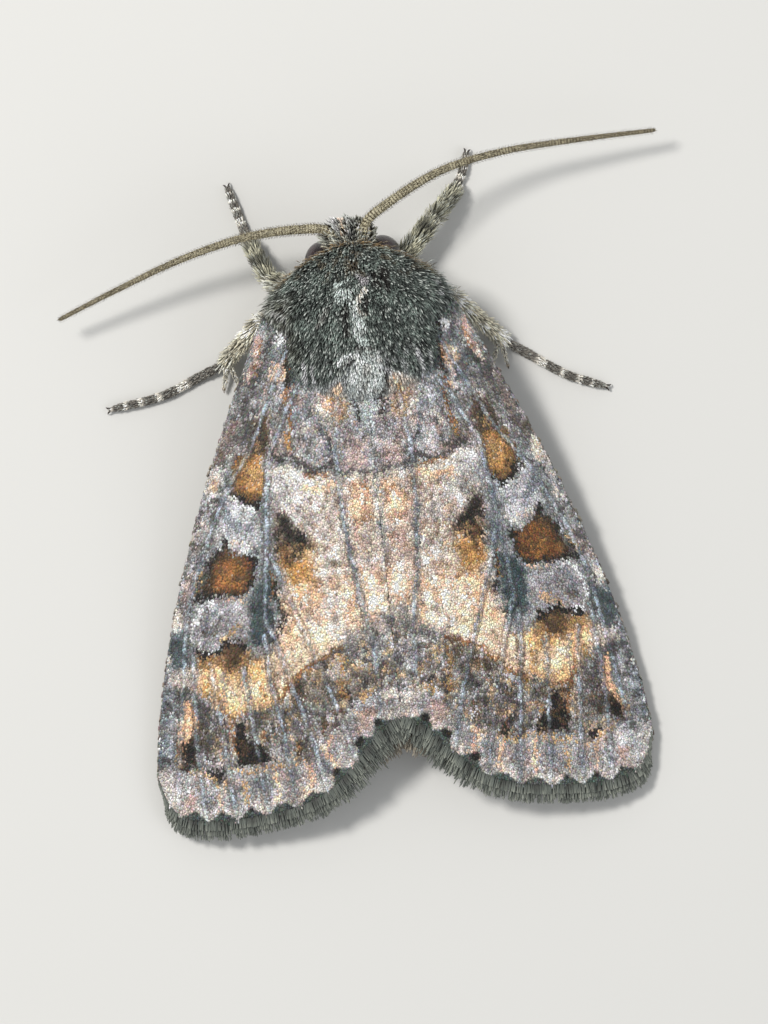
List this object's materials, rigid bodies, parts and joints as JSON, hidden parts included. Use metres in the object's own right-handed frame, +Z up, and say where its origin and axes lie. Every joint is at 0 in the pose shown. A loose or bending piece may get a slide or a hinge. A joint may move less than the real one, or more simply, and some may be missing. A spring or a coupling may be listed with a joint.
{
  "type": "moth",
  "caption": "Life-size owlet moth at rest: mottled grey, brown and cream wings closed over its back as a low roof, feelers spread, feet flat on the ground.",
  "frame": {"origin": "bottom centre of the moth's own box, feelers and fringes included, on the ground under its soles", "axes": "+Z up from the ground, +Y towards the head, +X the moth's own right side"},
  "size_m": [0.0248, 0.0268, 0.0066],
  "materials": {
    "body_hair": "dense dark grey hair-scales with pale tips",
    "collar_hair": "dark grey hair-scales edged with brown",
    "head_hair": "short grey tufted scales",
    "abdomen_hair": "grey-brown lying scales, paler below",
    "eye": "glossy purple-brown facetted eye",
    "feeler": "brown ringed horn with fine hairs and pale scales near the base",
    "forewing_scales": "overlapping scales in grey, brown, ochre and cream",
    "hindwing_scales": "plain grey-brown scales",
    "leg_scales": "grey hair-scales with pale joints",
    "foot_scales": "dark scales ringed with cream at the joints"
  },
  "bodies": {
    "root": {"collar": "collar_hair", "thorax": "body_hair", "head": "head_hair", "abdomen": "abdomen_hair", "eye_right": "eye", "palp_right": "head_hair", "antenna_right": "feeler", "forewing_right": "forewing_scales", "hindwing_right": "hindwing_scales", "eye_left": "eye", "palp_left": "head_hair", "antenna_left": "feeler", "forewing_left": "forewing_scales", "hindwing_left": "hindwing_scales", "foreleg_right_femur": "leg_scales", "foreleg_right_tibia": "leg_scales", "foreleg_right_tarsus": "foot_scales", "foreleg_left_femur": "leg_scales", "foreleg_left_tibia": "leg_scales", "foreleg_left_tarsus": "foot_scales", "midleg_right_femur": "leg_scales", "midleg_right_tibia": "leg_scales", "midleg_right_tarsus": "foot_scales", "midleg_left_femur": "leg_scales", "midleg_left_tibia": "leg_scales", "midleg_left_tarsus": "foot_scales", "hindleg_right_femur": "leg_scales", "hindleg_right_tibia": "leg_scales", "hindleg_right_tarsus": "foot_scales", "hindleg_left_femur": "leg_scales", "hindleg_left_tibia": "leg_scales", "hindleg_left_tarsus": "foot_scales"}
  },
  "joints": []
}
